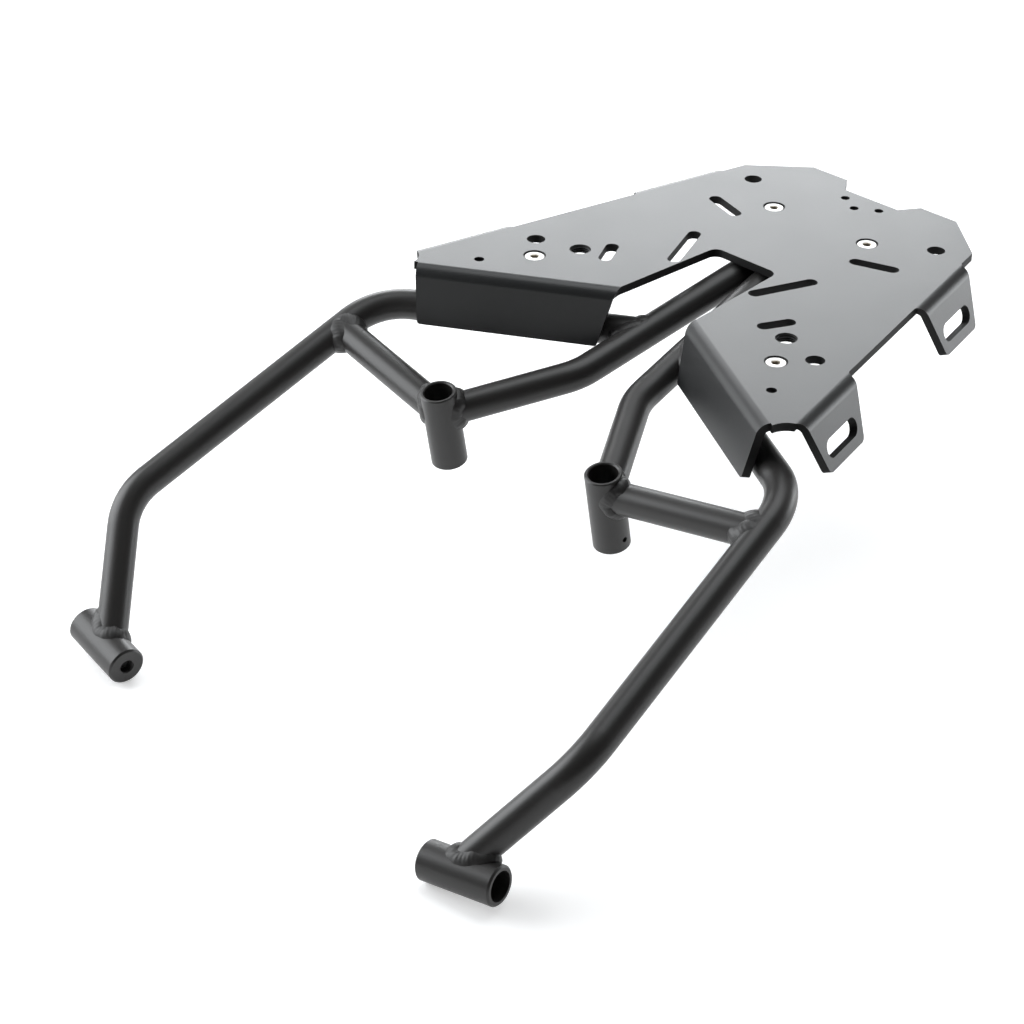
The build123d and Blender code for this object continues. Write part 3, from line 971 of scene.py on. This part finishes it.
# %% Wind the threads
plate_thread_place = Vector((78.1, -121.2, -4.9))
foot_thread_offset = 22.4
foot_thread_place = boss_centre - boss_along * foot_thread_offset
foot_thread = {"Radius": 4.3 * mm, "Turns": 4.0, "Material": tube_coat}
threads = {
    "plate_thread": (plate_thread_place, upright, {"Material": plate_coat}, "plate_coat"),
    "foot_thread": (foot_thread_place, boss_along, foot_thread, "frame_coat"),
}
for name, (place, axis, values, slot) in threads.items():
    for side, spot, way in (("right", place, axis), ("left", mirrored(place), mirrored(axis))):
        empty = new_object("thread_source", bpy.data.meshes.new("thread_source"))
        thread = grown(f"{name}_{side}", empty, thread_tree, values)
        turned = way.to_track_quat("Z", "Y").to_matrix().to_4x4()
        thread.data.transform(Matrix.Translation(spot * mm) @ turned)
        seat_piece(thread)
        print(thread.name, triangles(thread), "triangles")

# %% [markdown]
# ## Rounded edges of the sheet
#
# Laser cut edges are brushed before coating, and the powder rounds them further. The turn is less than a
# millimetre wide, but it softens every outline of the plate, while the CAD edges are sharp. A Bevel
# modifier can round them if it finds clean edges. So we copy the plate, merge its loose triangles, and
# dissolve the flat ones into whole faces.

# %% Copy the sheet and join its triangles
merge_distance = 0.004 * mm
flat_angle = math.radians(1.0)

cut_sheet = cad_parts["top_plate"].data.copy()
solid = bmesh.new()
solid.from_mesh(cut_sheet)
bmesh.ops.remove_doubles(solid, verts=solid.verts, dist=merge_distance)
bmesh.ops.dissolve_limit(solid, angle_limit=flat_angle, verts=solid.verts, edges=solid.edges)
for face in solid.faces:
    face.smooth = True
solid.to_mesh(cut_sheet)
open_edges = sum(1 for edge in solid.edges if not edge.is_manifold)
solid.free()
print("faces:", len(cut_sheet.polygons), "open edges:", open_edges)

# %% [markdown]
# The Bevel modifier rounds every sharp edge in three steps. A Weighted Normal modifier after it keeps the
# big faces flat to the eye, because it lets them decide the shading of the narrow ones beside them.

# %% Round its edges
edge_width = 0.75 * mm
edge_segments = 3
sharp_angle = math.radians(40)

sheet_copy = new_object("sheet_copy", cut_sheet)
bevel = sheet_copy.modifiers.new("round", "BEVEL")
bevel.width = edge_width
bevel.segments = edge_segments
bevel.limit_method = "ANGLE"
bevel.angle_limit = sharp_angle
bevel.use_clamp_overlap = True
weigh = sheet_copy.modifiers.new("weigh", "WEIGHTED_NORMAL")
weigh.keep_sharp = False
rounded = plain_mesh(sheet_copy, "rounded_top_plate")
rounded_plate = new_object("rounded_top_plate", rounded)
print("rounded plate has", triangles(rounded_plate), "triangles")

# %% [markdown]
# The walls that the laser cut, and most of the round beside them, take the dull coat. We don't mark them by
# hand but find them by a rule. From a point on a broad face, the far side of the sheet is one thickness
# away, straight through it, in the folds too. Behind a cut wall the next surface is nearer or farther. Each
# face is tried from the middle of its largest triangle, because the middle of a face with a hole in it may
# lie in the hole.

# %% Find the cut walls
sheet_thickness = 5.0 * mm
thickness_slack = 0.3 * mm
ray_lift = 0.01 * mm

rounded.materials.clear()
rounded.materials.append(plate_coat)
rounded.materials.append(cut_coat)
points = [point.co for point in rounded.vertices]
surface = BVHTree.FromPolygons(points, [tuple(face.vertices) for face in rounded.polygons])
rounded.calc_loop_triangles()
widest = {}
for part in rounded.loop_triangles:
    if part.area > widest.get(part.polygon_index, (0.0, None))[0]:
        widest[part.polygon_index] = (part.area, part.center.copy())
cut_faces = 0
for number, (area, middle) in widest.items():
    face = rounded.polygons[number]
    far = surface.ray_cast(middle - face.normal * ray_lift, -face.normal)[3]
    if far is None or abs(far - sheet_thickness) > thickness_slack:
        face.material_index = 1
        cut_faces += 1
seat_piece(rounded_plate)
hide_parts("top_plate")
print("cut faces:", cut_faces, "of", len(rounded.polygons))

# %% [markdown]
# ## Finish
#
# The view is shown without any film look, so that colours come out as they are written.

# %% View settings
bpy.context.scene.view_settings.view_transform = "Standard"
